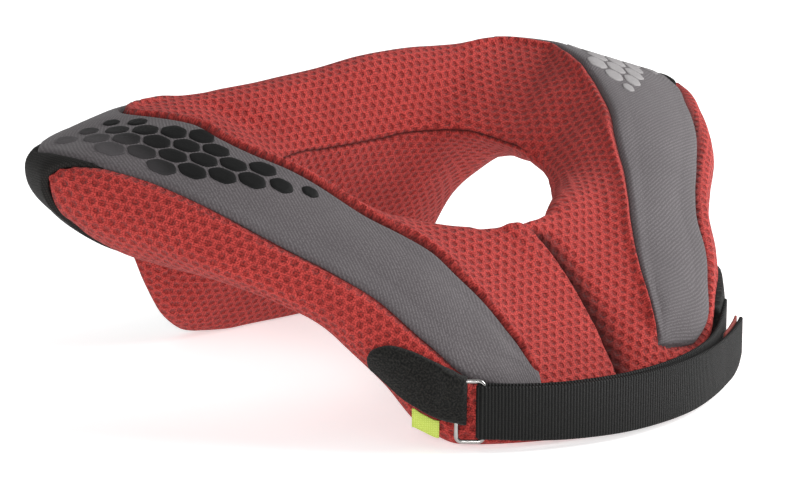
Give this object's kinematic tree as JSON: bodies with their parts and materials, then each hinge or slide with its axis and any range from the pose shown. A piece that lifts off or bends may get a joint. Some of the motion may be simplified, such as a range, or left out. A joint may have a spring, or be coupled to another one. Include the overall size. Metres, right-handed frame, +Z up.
{
  "type": "padded neck roll",
  "caption": "C-shaped padded collar for a young off-road rider, raised at the back, with grey side panels and a webbing strap that closes the front through a wire ring.",
  "frame": {"origin": "centre of the bounding box, on the floor it rests on", "axes": "+X towards the wearer's left, -Y towards the front closure, +Z up"},
  "size_m": [0.3148, 0.2192, 0.1079],
  "materials": {
    "red": "red spacer mesh over foam",
    "grey": "grey stretch twill with a raised black print",
    "black": "black woven cloth and webbing",
    "felt": "black loop felt",
    "steel": "bright plated wire",
    "hook": "dull red hook tape",
    "lime": "lime woven label, bare"
  },
  "bodies": {
    "root": {"collar_pad": "red", "side_panel_left": "grey", "side_panel_right": "grey", "back_panel": "black", "ring_tab": "felt", "anchor_tab": "felt", "strap_ring": "steel", "closure_strap": "black", "hook_patch": "hook", "side_tag": "lime"}
  },
  "joints": []
}
